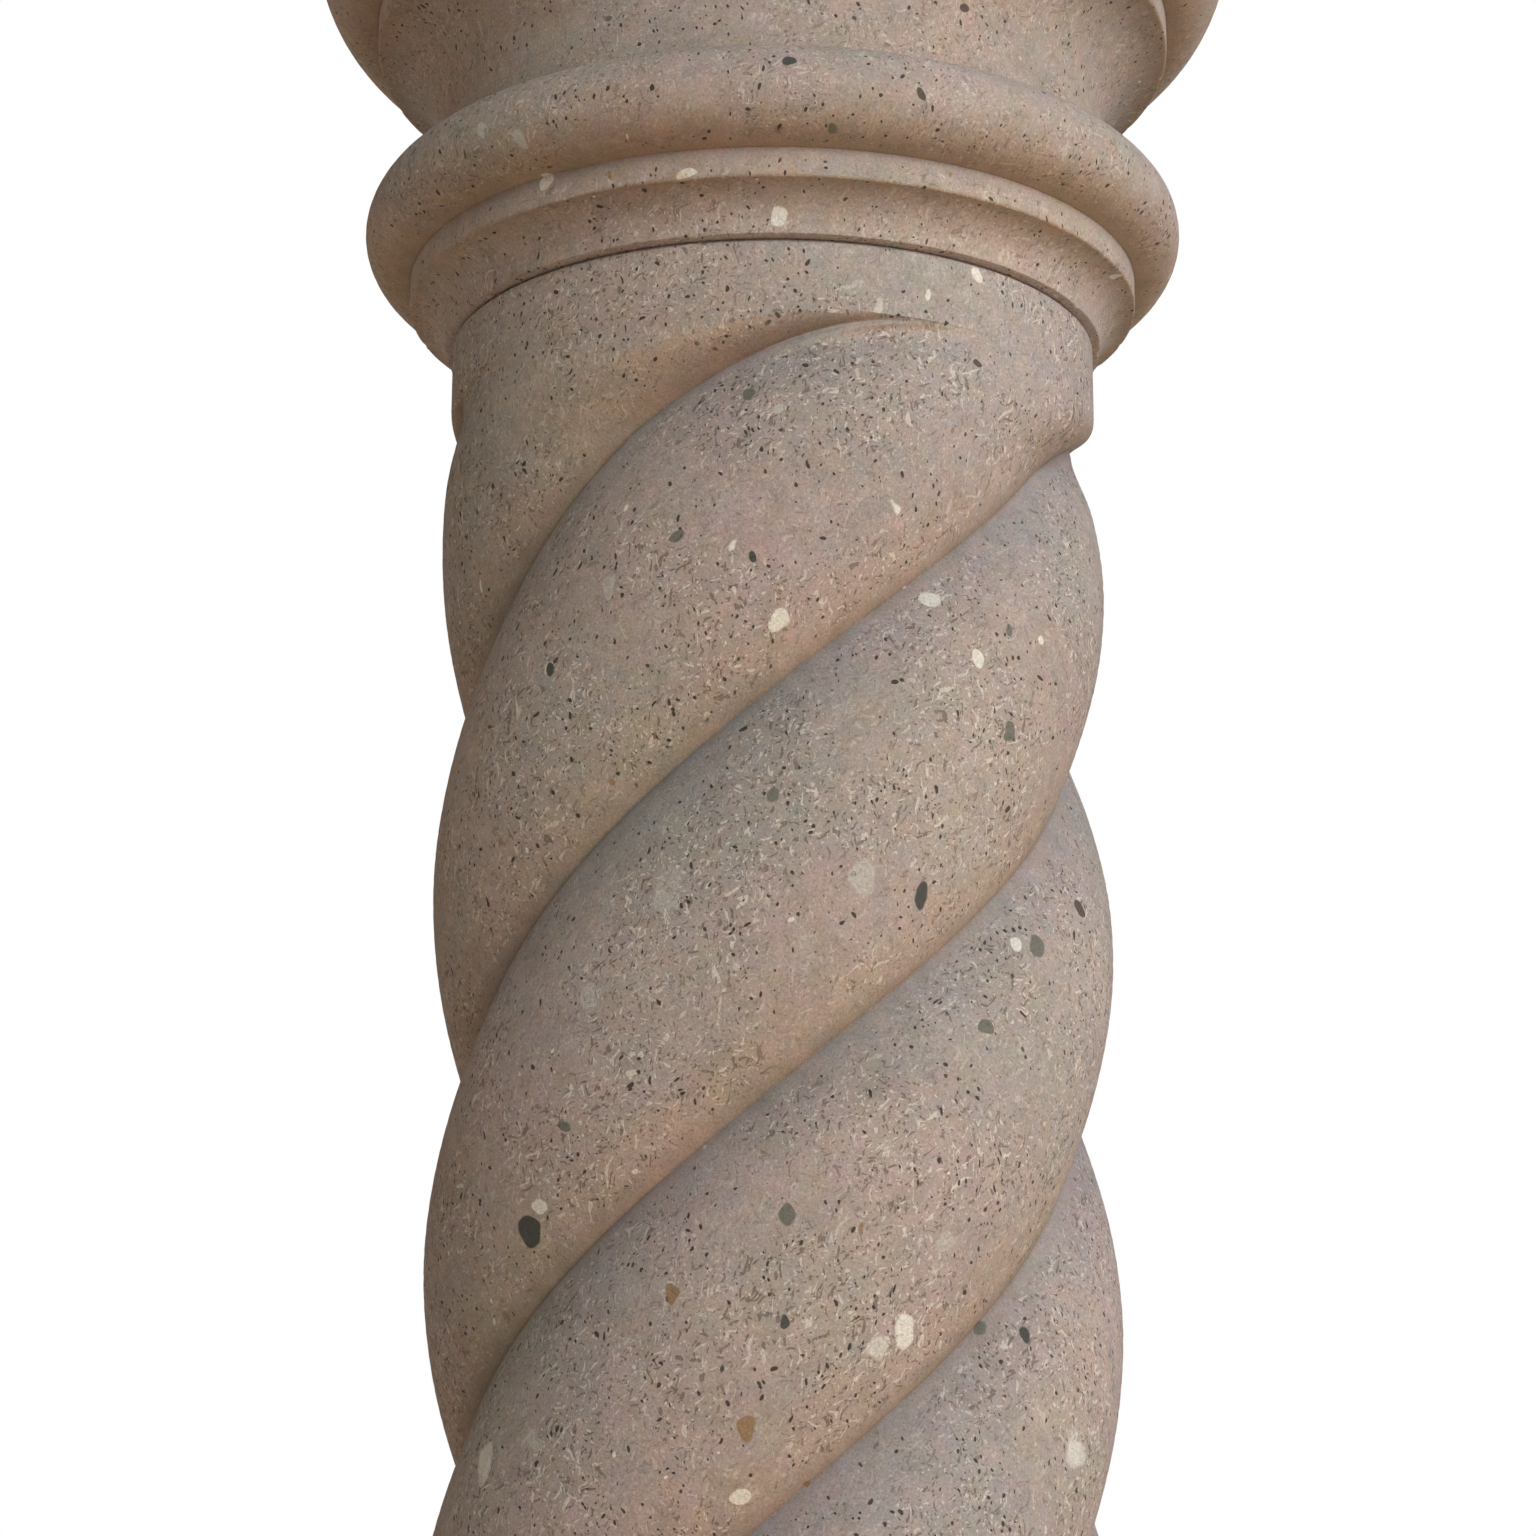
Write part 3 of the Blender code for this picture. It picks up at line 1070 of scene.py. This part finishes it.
@dataclass
class Base(TurnedStone):
    """The base: lip, cavetto, fillet and torus on a square plinth."""

    torus_radius: float = 28.0 * MM
    torus_lean: float = 116.5
    torus_start: float = -84.0
    plinth_height: float = 100.0 * MM
    plinth_chamfer: float = 3.0 * MM
    plinth_rings: int = 20

    def mouldings(self, top: float) -> list[ProfilePoint]:
        """The turned outline from the plinth's top up to the lip's top.

        Args:
            top: the height of the lip's top.

        Returns:
            The corners from the bottom up.
        """
        lean = math.radians(self.torus_lean)
        fillet = self.lip_radius + self.cavetto[0]
        torus = fillet - self.torus_radius * math.cos(lean)
        middle = self.plinth_height + self.torus_radius
        radii = (self.torus_radius, self.torus_radius)
        lip_in, lip_down = self.lip_chamfer
        hollow = (-self.cavetto[0], -self.cavetto[1])
        corners = arc((torus, middle), radii, self.torus_start, self.torus_lean, steps=30)
        corners += [(fillet, top - self.cavetto[1], self.ease)]
        corners += arc((fillet, top), hollow, 90, self.cavetto_start, steps=10)[1:]
        corners += [(self.lip_radius, top - lip_down, lip_down), (self.lip_radius - lip_in, top, 0.0)]
        return corners

    def square(self, half_width: float) -> np.ndarray:
        """Distances from the axis to a square's outline, one for each segment.

        Args:
            half_width: half of the square's side.

        Returns:
            The distances.
        """
        angles = self.angles()
        sharp = half_width / np.maximum(np.abs(np.cos(angles)), np.abs(np.sin(angles)))
        corner = half_width * math.sqrt(2) - self.plinth_chamfer
        return np.minimum(sharp, corner)

    def plinth(self, half_width: float, foot: float) -> tuple[np.ndarray, np.ndarray, np.ndarray]:
        """The plinth's rings from its underside up to the torus.

        Args:
            half_width: half of the plinth's side.
            foot: the height of the underside.

        Returns:
            The rings of points, which rings lie on an arris, and the outline at the middle of a side.
        """
        angles = self.angles()
        chamfer, top = self.plinth_chamfer, foot + self.plinth_height
        levels = [(foot, chamfer), (foot + chamfer, 0.0)]
        levels += [(z, 0.0) for z in np.linspace(foot + chamfer, top - chamfer, self.plinth_rings)[1:]]
        levels += [(top, chamfer), (top, 2.5 * chamfer)]
        rings = []
        for height, inset in levels:
            radius = self.square(half_width - inset)
            ring = [radius * np.cos(angles), radius * np.sin(angles), np.full_like(angles, height)]
            rings.append(np.stack(ring, -1))
        arris = np.zeros(len(rings))
        arris[[0, 1, -3, -2]] = 1.0
        outline = np.array([(half_width - inset, height) for height, inset in levels])
        return np.stack(rings), arris, outline

    def build(self) -> bpy.types.Object:
        """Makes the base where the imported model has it, and dresses it.

        Returns:
            The base.
        """
        low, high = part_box(self.node)
        profile, turned_arris = refined_profile(*eased_profile(self.mouldings(high.z)), self.longest_step)
        square, square_arris, outline = self.plinth(high.x, low.z)
        points = np.concatenate([square, self.turned(profile)])
        arris = np.concatenate([square_arris, turned_arris])
        crease = np.tile(corner_distance(np.concatenate([outline, profile]))[:, None], self.segments)
        made = self.lattice(self.worn(points, arris), crease)
        made.data.materials.append(self.finish.material("base_tuff", self.offset))
        return made


@dataclass
class TwistedShaft(Stone):
    """The shaft: four strands twisted to the right, which run out into a round neck at each end."""

    strands: int = 4
    crest_radius: float = 150.0 * MM
    strand_radius: float = 99.7 * MM
    pitch: float = 643.5 * MM
    neck_radius: float = 147.6 * MM
    neck_height: float = 30.0 * MM
    runout_height: float = 45.0 * MM
    runout_sweep: float = math.radians(27.3)
    sweep_power: float = 1.3
    depth_power: float = 2.4
    runout_sharpness: float = 3.5
    groove_tip: float = math.radians(-66.2)
    chamfer: float = 1.5 * MM
    quirk_depth: float = 0.8 * MM
    quirk_width: float = 1.9 * MM
    quirk_rise: float = 12.0
    columns: int = 46
    crowding: float = 0.80
    ring_step: float = 5.0 * MM
    turn_step: float = math.radians(1.6)
    unevenness: float = 0.35 * MM
    swells: tuple[float, ...] = (45 * MM, 60 * MM, 85 * MM, 130 * MM)
    seed: int = 11
    drop_step: float = 5.0

    def sweep(self, distance: np.ndarray) -> np.ndarray:
        """The extra angle that a groove has swept at a distance below its tip.

        Args:
            distance: metres from the tip towards the strands.

        Returns:
            The angles.
        """
        share = np.clip(distance / self.runout_height, 0, 1)
        return self.runout_sweep * (1 - (1 - np.sqrt(share)) ** self.sweep_power)

    def fading(self, distance: np.ndarray) -> np.ndarray:
        """The share of the full depth at a distance below a groove's tip."""
        share = np.clip(distance / self.runout_height, 0, 1)
        return 1 - (1 - share) ** self.depth_power

    def groove_angle(self, height: np.ndarray, length: float) -> np.ndarray:
        """Where one groove's bottom line is at each height.

        Args:
            height: heights above the shaft's lower end.
            length: the shaft's length.

        Returns:
            Angles about the axis, anticlockwise from +X.
        """
        below = length - self.neck_height - height
        above = height - self.neck_height
        held = np.clip(below, 0, length - 2 * self.neck_height)
        swept = self.sweep(below) + self.runout_sweep - self.sweep(above)
        return self.groove_tip - 2 * math.pi * held / self.pitch - swept

    def heights(self, length: float) -> np.ndarray:
        """Ring heights, closer where the grooves sweep round quickly.

        Args:
            length: the shaft's length.

        Returns:
            The heights from the lower chamfer to the upper one.
        """
        fine = np.linspace(self.chamfer, length - self.chamfer, 20001)
        swept = self.sweep(fine - self.neck_height) - self.sweep(length - self.neck_height - fine)
        measure = (fine - fine[0]) / self.ring_step + (swept - swept[0]) / self.turn_step
        return np.interp(np.linspace(0, measure[-1], math.ceil(measure[-1]) + 1), measure, fine)

    def column_angles(self) -> np.ndarray:
        """Angles of the mesh columns from a groove, crowded towards the grooves.

        Returns:
            The angles of all columns of all strands.
        """
        share = np.arange(self.columns) / self.columns
        share = share - self.crowding * np.sin(2 * math.pi * share) / (2 * math.pi)
        strand = 2 * math.pi / self.strands
        return np.concatenate([(share + i) * strand for i in range(self.strands)])

    def steepness(self, height: np.ndarray, length: float) -> np.ndarray:
        """The sine of the groove's angle above the level, which turns a level distance into a square one.

        Args:
            height: heights above the shaft's lower end.
            length: the shaft's length.

        Returns:
            The sines.
        """
        step = 0.2 * MM
        turn = self.groove_angle(height + step, length) - self.groove_angle(height - step, length)
        along = np.maximum(np.abs(turn) / (2 * step) * self.neck_radius, 1e-6)
        return 1 / np.hypot(1, along)

    def radius(
        self, from_groove: np.ndarray, height: np.ndarray, length: float
    ) -> tuple[np.ndarray, np.ndarray]:
        """The shaft's radius at each angle from a groove.

        Args:
            from_groove: angles of the columns.
            height: heights above the shaft's lower end.
            length: the shaft's length.

        Returns:
            Radii by ring and column, and the distances to the groove.
        """
        strand = 2 * math.pi / self.strands
        from_crest = from_groove % strand - strand / 2
        offset = self.crest_radius - self.strand_radius
        across = offset * np.sin(from_crest)
        lobe = offset * np.cos(from_crest) + np.sqrt(self.strand_radius**2 - across**2)
        upper = self.fading(length - self.neck_height - height)
        lower = self.fading(height - self.neck_height)
        depth = upper * lower
        level = (strand / 2 - np.abs(from_crest)) * lobe
        square = level[None, :] * self.steepness(height, length)[:, None]
        cut = np.clip(depth * self.quirk_rise, 0, 1)[:, None]
        quirk = self.quirk_depth * (2 - depth[:, None]) * cut * np.exp(-((square / self.quirk_width) ** 2))
        fall = lobe - self.neck_radius
        share = np.clip(fall / fall.min(), 1e-6, 1)[None, :]
        steepening = np.where(from_crest > 0, 1 - upper[:, None], 1 - lower[:, None])
        fall = np.where(fall < 0, fall * share ** (self.runout_sharpness * steepening), fall)
        return self.neck_radius + depth[:, None] * fall - quirk, square + (1 - cut) * FAR

    def surface(self, foot: float, length: float) -> tuple[np.ndarray, np.ndarray]:
        """The shaft's rings of points.

        Args:
            foot: the height of its lower end.
            length: its length.

        Returns:
            Points by ring and column, and their distances to the groove.
        """
        height = self.heights(length)
        columns = self.column_angles()
        radius, crease = self.radius(columns, height, length)
        angle = self.groove_angle(height, length)[:, None] + columns[None, :]
        level = foot + height[:, None] + 0 * angle
        rings = np.stack([radius * np.cos(angle), radius * np.sin(angle), level], -1)
        swell = wobble(rings, self.swells, self.seed) * 0.5 + 0.5
        rings[..., :2] *= (1 - self.unevenness * swell / radius)[..., None]
        ends = []
        for ring, end_height in ((rings[0], foot), (rings[-1], foot + length)):
            end = ring.copy()
            end[:, :2] *= 1 - self.chamfer / self.neck_radius
            end[:, 2] = end_height
            ends.append(end[None])
        return np.concatenate([ends[0], rings, ends[1]]), np.concatenate([crease[:1], crease, crease[-1:]])

    def clast_centre(self, clast: PlacedClast, foot: float, length: float) -> Triple:
        """The point on the surface where a placed fragment is.

        Args:
            clast: the fragment.
            foot: the height of the shaft's lower end.
            length: the shaft's length.

        Returns:
            The point.
        """
        height = np.array([length - clast.drop * MM])
        angle = math.radians(clast.degrees - 90)
        from_groove = angle - self.groove_angle(height, length)
        radius = float(self.radius(from_groove, height, length)[0][0, 0])
        return (radius * math.cos(angle), radius * math.sin(angle), foot + float(height[0]))

    def build(self, view: Viewpoint) -> bpy.types.Object:
        """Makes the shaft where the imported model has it, and dresses it.

        Args:
            view: where the photograph was taken from.

        Returns:
            The shaft.
        """
        low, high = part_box(self.node)
        length = high.z - low.z
        made = self.lattice(*self.surface(low.z, length))
        placed = self.placed_clasts(made, view)
        centres = [(clast, self.clast_centre(clast, low.z, length)) for clast in placed]
        made.data.materials.append(self.finish.material("shaft_tuff", self.offset, centres))
        return made


@dataclass(frozen=True)
class SoftLight:
    """A square light, placed by its angle to the right of the camera and its angle above the level."""

    name: str
    right: float
    rise: float
    watts: float
    colour: Triple
    size: float = 2.0
    distance: float = 4.0


@dataclass
class Studio:
    """A plain pale floor and soft lights."""

    floor_radius: float = 3.5
    floor_segments: int = 96
    floor_tones: tuple[Triple, Triple] = ((0.73, 0.69, 0.64), (0.75, 0.71, 0.66))
    clouds_per_metre: float = 3.0
    lit_height: float = 1.95
    ambient: Triple = (0.07, 0.07, 0.07)
    soft_lights: tuple[SoftLight, ...] = (
        SoftLight("window", 40.0, 12.0, 74.0, (1.00, 0.86, 0.81)),
        SoftLight("sky", 20.0, 27.0, 82.0, (0.84, 0.98, 0.89)),
        SoftLight("right", 100.0, 12.0, 56.0, (0.92, 0.98, 1.00)),
        SoftLight("ground", 20.0, -24.0, 26.0, (1.00, 0.71, 0.59)),
        SoftLight("left", -100.0, 12.0, 33.5, (1.00, 0.78, 0.55)),
        SoftLight("behind", 180.0, 12.0, 60.0, (1.00, 0.98, 0.96)),
        SoftLight("above", 0.0, 90.0, 60.0, (1.00, 0.97, 0.93)),
    )

    def floor(self) -> bpy.types.Object:
        """Makes the round floor.

        Returns:
            The floor.
        """
        angles = np.linspace(0, 2 * math.pi, self.floor_segments, endpoint=False)
        points = [(self.floor_radius * math.cos(a), self.floor_radius * math.sin(a), 0.0) for a in angles]
        mesh = bpy.data.meshes.new("floor")
        mesh.from_pydata(points, [], [list(range(len(points)))])
        made = bpy.data.objects.new("floor", mesh)
        bpy.context.scene.collection.objects.link(made)
        material = bpy.data.materials.new("floor_plaster")
        material.use_nodes = True
        graph = Graph(material.node_tree)
        tone = graph.noise(graph.place(), self.clouds_per_metre, 4.0).eased(0.3, 0.7)
        colour = graph.mix(tone, *self.floor_tones)
        shader = graph.node("ShaderNodeBsdfPrincipled", {}, {"Base Color": colour, "Roughness": 0.9})
        graph.node("ShaderNodeOutputMaterial", {}, {"Surface": shader})
        mesh.materials.append(material)
        return made

    def area_light(self, light: SoftLight) -> bpy.types.Object:
        """Adds one soft light, pointing at the top of the shaft.

        Args:
            light: where it is and how it shines.

        Returns:
            The light.
        """
        around, up = math.radians(light.right), math.radians(light.rise)
        away = Vector((math.sin(around) * math.cos(up), -math.cos(around) * math.cos(up), math.sin(up)))
        lamp = bpy.data.lights.new(light.name, "AREA")
        lamp.size = light.size
        lamp.energy = light.watts
        lamp.color = light.colour
        made = bpy.data.objects.new(light.name, lamp)
        made.location = Vector((0.0, 0.0, self.lit_height)) + away * light.distance
        made.rotation_euler = away.to_track_quat("Z", "Y").to_euler()
        bpy.context.scene.collection.objects.link(made)
        return made

    def lights(self) -> None:
        """Adds the lights and a plain surround that is white where the camera looks past the column."""
        for light in self.soft_lights:
            self.area_light(light)
        bpy.context.scene.view_settings.view_transform = "Standard"
        world = bpy.data.worlds.new("studio")
        bpy.context.scene.world = world
        world.use_nodes = True
        graph = Graph(world.node_tree)
        rise = VectorWire(graph, graph.node("ShaderNodeTexCoord", {}, {}, "Generated").socket).part("Z")
        level = 1 - (rise * rise).eased(0.0, 1.0)
        channels = {i: level * part for i, part in enumerate(self.ambient)}
        tint = graph.node("ShaderNodeCombineXYZ", {}, channels)
        soft = graph.node("ShaderNodeBackground", {}, {"Color": tint, "Strength": 1.0})
        paper = graph.node("ShaderNodeBackground", {}, {"Color": (1.0, 1.0, 1.0, 1.0), "Strength": 1.0})
        seen = graph.node("ShaderNodeLightPath", {}, {}, "Is Camera Ray")
        both = graph.node("ShaderNodeMixShader", {}, {0: seen, 1: soft, 2: paper})
        graph.node("ShaderNodeOutputWorld", {}, {"Surface": both})


# The largest fragments that show on the shaft
SHAFT_CLASTS = (
    SeenClast(Clast.CHARCOAL, 528, 1230, 24, 30),
    SeenClast(Clast.CHARCOAL, 922, 900, 16, 25),
    SeenClast(Clast.CHARCOAL, 1022, 1328, 14, 20),
    SeenClast(Clast.CHARCOAL, 787, 1321, 12, 12),
    SeenClast(Clast.CHARCOAL, 756, 553, 9, 9),
    SeenClast(Clast.CHARCOAL, 552, 671, 9, 12),
    SeenClast(Clast.GREY_GREEN, 1035, 948, 14, 27),
    SeenClast(Clast.GREY_GREEN, 984, 1021, 14, 23),
    SeenClast(Clast.GREY_GREEN, 1010, 732, 11, 22),
    SeenClast(Clast.GREY_GREEN, 1010, 630, 8, 14),
    SeenClast(Clast.GREY_GREEN, 676, 534, 11, 12),
    SeenClast(Clast.GREY_GREEN, 748, 398, 14, 12),
    SeenClast(Clast.GREY_GREEN, 565, 1130, 13, 12),
    SeenClast(Clast.GREY_GREEN, 789, 1215, 12, 21),
    SeenClast(Clast.UMBER, 978, 360, 10, 7),
    SeenClast(Clast.UMBER, 1078, 906, 9, 20),
    SeenClast(Clast.CREAM, 779, 617, 21, 24),
    SeenClast(Clast.CREAM, 979, 654, 15, 19),
    SeenClast(Clast.CREAM, 928, 596, 21, 14),
    SeenClast(Clast.CREAM, 905, 1333, 18, 39),
    SeenClast(Clast.CREAM, 743, 1502, 22, 16),
    SeenClast(Clast.CREAM, 540, 1205, 18, 18),
    SeenClast(Clast.CREAM, 1019, 950, 13, 20),
    SeenClast(Clast.CREAM, 979, 271, 12, 19),
    SeenClast(Clast.PALE, 666, 892, 28, 54, 0.45),
    SeenClast(Clast.PALE, 865, 875, 26, 40, 0.65),
    SeenClast(Clast.PALE, 610, 592, 14, 22, 0.6),
    SeenClast(Clast.PALE, 590, 990, 14, 22, 0.6),
    SeenClast(Clast.PALE, 533, 1435, 16, 22, 0.6),
    SeenClast(Clast.PALE, 947, 1245, 22, 24, 0.5),
    SeenClast(Clast.OCHRE, 748, 1430, 16, 29),
    SeenClast(Clast.OCHRE, 670, 1298, 14, 24),
)
# The largest fragments that show on the capital
CAPITAL_CLASTS = (
    SeenClast(Clast.CHARCOAL, 788, 61, 18, 12),
    SeenClast(Clast.UMBER, 925, 97, 10, 14),
    SeenClast(Clast.UMBER, 966, 10, 7, 10),
    SeenClast(Clast.GREY_GREEN, 607, 20, 8, 10),
    SeenClast(Clast.PALE, 520, 140, 12, 22),
    SeenClast(Clast.CREAM, 548, 180, 14, 18),
    SeenClast(Clast.CREAM, 690, 174, 22, 10),
    SeenClast(Clast.CREAM, 781, 218, 18, 22),
)


def main() -> None:
    """Builds the stones, the studio and the camera, and reports each piece."""
    logging.basicConfig(level=logging.INFO, format="%(name)s: %(message)s")
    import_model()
    view = Viewpoint(joint_height=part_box("capital")[0].z, shaft_top=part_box("shaft")[1].z)
    Base("base", "base_mouldings_and_plinth", "base_stone", (2.7, 4.1, 1.3)).build()
    shaft = TwistedShaft("shaft", "twisted_shaft", "shaft_stone", (0.0, 0.0, 0.0), clasts=SHAFT_CLASTS)
    shaft.build(view)
    capital = Capital("capital", "turned_capital", "capital_stone", (5.3, 0.9, 3.7), clasts=CAPITAL_CLASTS)
    capital.build(view)
    studio = Studio()
    studio.floor()
    studio.lights()
    view.camera()


if __name__ == "__main__":
    main()
